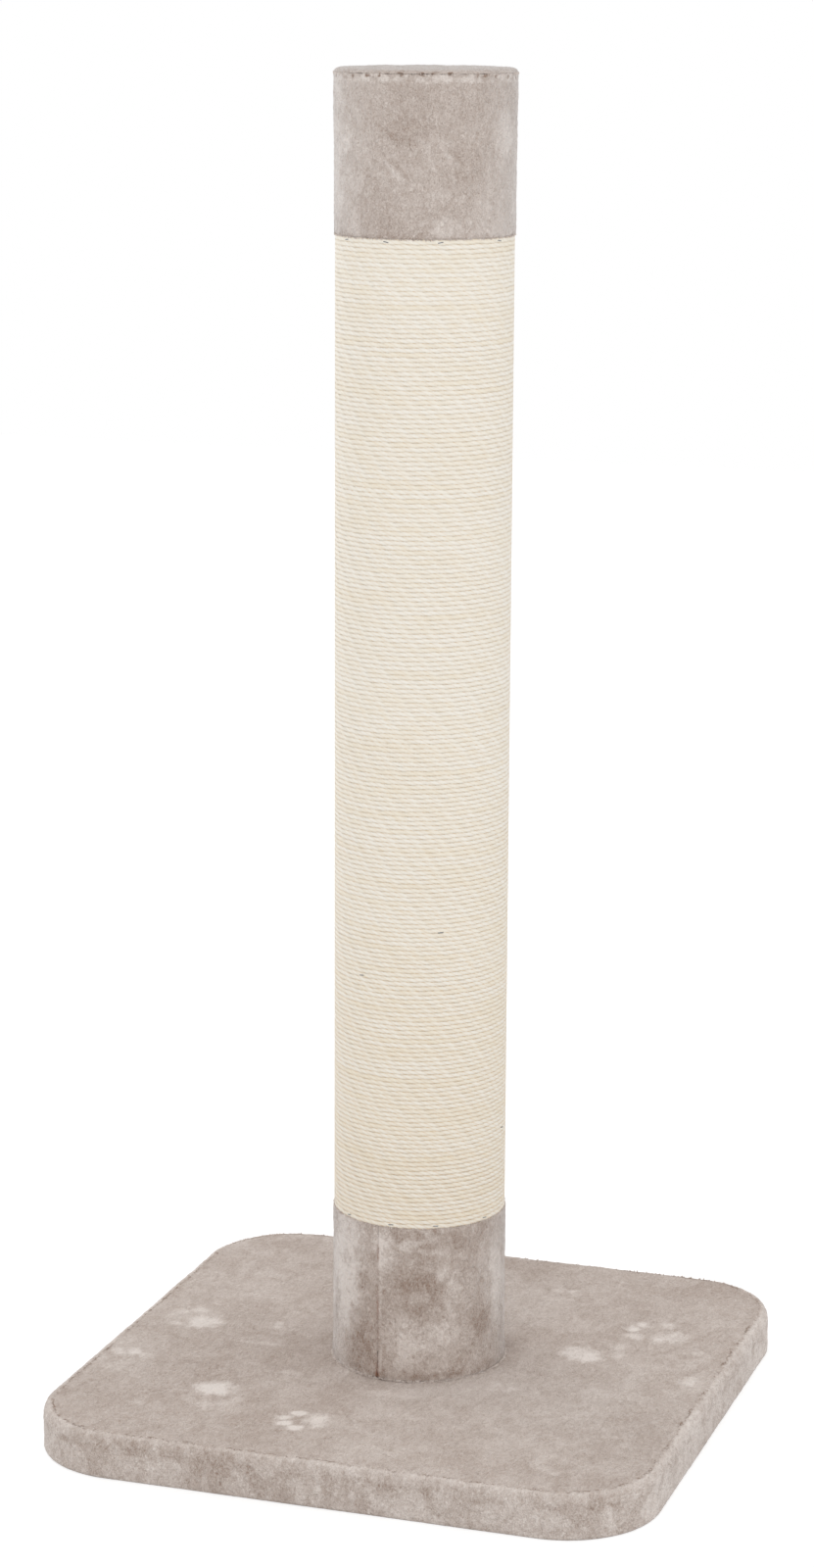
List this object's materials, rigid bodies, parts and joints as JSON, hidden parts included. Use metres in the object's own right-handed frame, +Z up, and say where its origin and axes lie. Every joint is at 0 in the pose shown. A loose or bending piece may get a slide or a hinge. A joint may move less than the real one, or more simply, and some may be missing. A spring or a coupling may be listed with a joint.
{
  "type": "cat scratching post",
  "caption": "Tall round scratching post wound with sisal rope between two plush sleeves, on a square plush-covered base with rounded corners.",
  "frame": {"origin": "on the floor below the middle of the base, at the bottom centre of the bounding box", "axes": "+Z up along the post, +X and +Y along the sides of the square base"},
  "size_m": [0.6, 0.6, 1.2809],
  "materials": {
    "plush": "matte",
    "sisal": "matte",
    "felt": "matte",
    "chipboard": "matte",
    "plug_board": "matte",
    "paperboard": "matte",
    "zinc_steel": "satin"
  },
  "bodies": {
    "root": {"base_board": "chipboard", "base_plush_cover": "plush", "base_underside_felt": "felt", "base_bolt_1": "zinc_steel", "base_washer_1": "zinc_steel", "insert_nut_1": "zinc_steel", "base_bolt_2": "zinc_steel", "base_washer_2": "zinc_steel", "insert_nut_2": "zinc_steel", "base_bolt_3": "zinc_steel", "base_washer_3": "zinc_steel", "insert_nut_3": "zinc_steel", "base_bolt_4": "zinc_steel", "base_washer_4": "zinc_steel", "insert_nut_4": "zinc_steel", "bottom_plug_screw_1": "zinc_steel", "bottom_plug_screw_2": "zinc_steel", "bottom_plug_screw_3": "zinc_steel", "bottom_plug_screw_4": "zinc_steel", "top_plug_screw_1": "zinc_steel", "top_plug_screw_2": "zinc_steel", "top_plug_screw_3": "zinc_steel", "top_plug_screw_4": "zinc_steel", "core_tube": "paperboard", "bottom_plug": "plug_board", "top_plug": "plug_board", "lower_plush_sleeve": "plush", "upper_plush_sleeve": "plush", "top_plush_disc": "plush", "sisal_rope": "sisal"}
  },
  "joints": []
}
